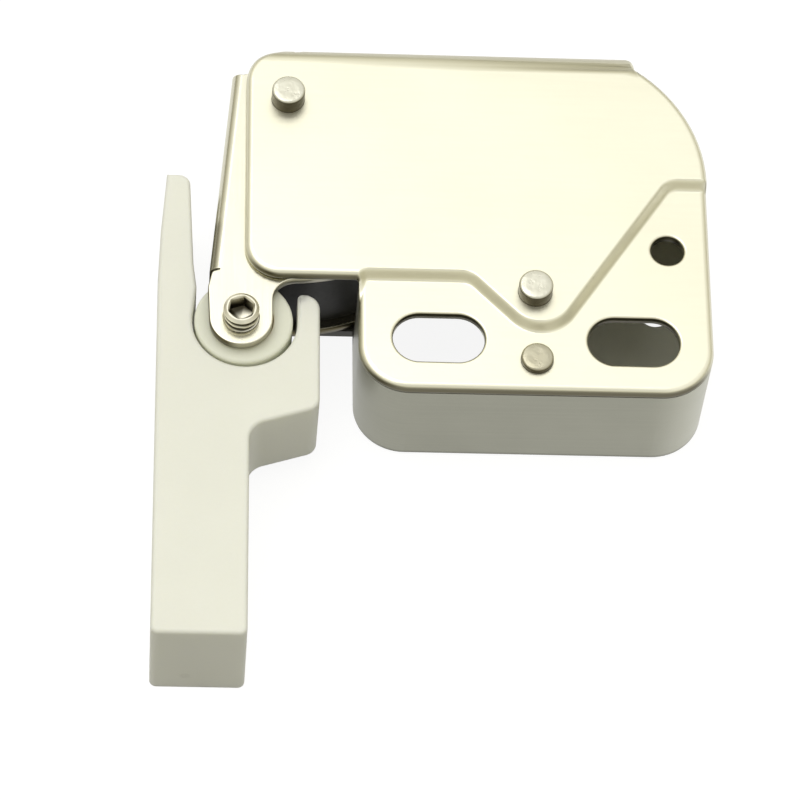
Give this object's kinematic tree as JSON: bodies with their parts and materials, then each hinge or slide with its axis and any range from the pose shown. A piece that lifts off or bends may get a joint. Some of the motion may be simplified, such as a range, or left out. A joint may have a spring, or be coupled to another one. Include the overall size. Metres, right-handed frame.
{
  "type": "touch latch",
  "caption": "Push-to-release touch latch: sprung arm with a roller, heart-cam catch in a riveted sheet case with slotted fixings, and a moulded striker that screws to the door.",
  "frame": {"origin": "middle of the two screw slots, on the case's flat back", "axes": "+X along the two slots away from the striker, +Y up the case from the slots to the arm's pin, +Z out of the back through the cover"},
  "size_m": [0.0474, 0.057, 0.0138],
  "materials": {
    "cover_plate": "bright nickel plate, rolled edges",
    "case_plate": "drawn nickel-plated sheet, fine draw lines",
    "arm_plate": "bright nickel plate",
    "rivet_steel": "domed plated steel",
    "turned_steel": "turned steel",
    "screw_steel": "plated set screw",
    "spring_steel": "spring wire",
    "bush_brass": "turned brass",
    "roller_white": "satin acetal",
    "block_black": "moulded, satin",
    "striker_white": "moulded, satin"
  },
  "bodies": {
    "case": {"housing_tray": "case_plate", "cover": "cover_plate", "arm_pivot_pin": "rivet_steel", "pawl_pivot_pin": "rivet_steel", "post_rivet": "rivet_steel", "post_spacer": "turned_steel", "spring_sleeve": "turned_steel", "pawl_spacer": "turned_steel", "pawl_collar": "turned_steel", "main_spring": "spring_steel", "pawl_spring": "spring_steel"},
    "arm": {"swing_arm": "arm_plate", "roller_axle": "screw_steel", "roller_bush": "bush_brass", "cam_block": "block_black", "block_dowels": "rivet_steel"},
    "roller": {"roller": "roller_white"},
    "pawl": {"pawl": "arm_plate", "follower_pin": "turned_steel"},
    "striker": {"striker": "striker_white"}
  },
  "joints": [
    {"name": "arm_swing", "type": "hinge", "parent": "case", "child": "arm", "pos_m": [-0.02124, 0.02327, 0.006], "axis": [0, 0, -1], "range_deg": [-4, 40], "deforming": ["main_spring"]},
    {"name": "roller_spin", "type": "hinge", "parent": "arm", "child": "roller", "pos_m": [-0.02484, 0.00208, 0.006], "axis": [0, 0, 1], "continuous": true},
    {"name": "striker_slide", "type": "slide", "parent": "case", "child": "striker", "axis": [-1, 0, 0], "range_m": [-0.0015, 0.015]},
    {"name": "pawl_swing", "type": "hinge", "parent": "case", "child": "pawl", "pos_m": [-0.0001, 0.00418, 0.0094], "axis": [0, 0, 1], "range_deg": [-0.55, 5.05], "deforming": ["pawl_spring"]}
  ],
  "couplings": [
    {"joint": "striker_slide", "follows": "arm_swing", "m_per_rad": 0.02148},
    {"joint": "pawl_swing", "follows": "arm_swing", "ratio": 0.125}
  ]
}
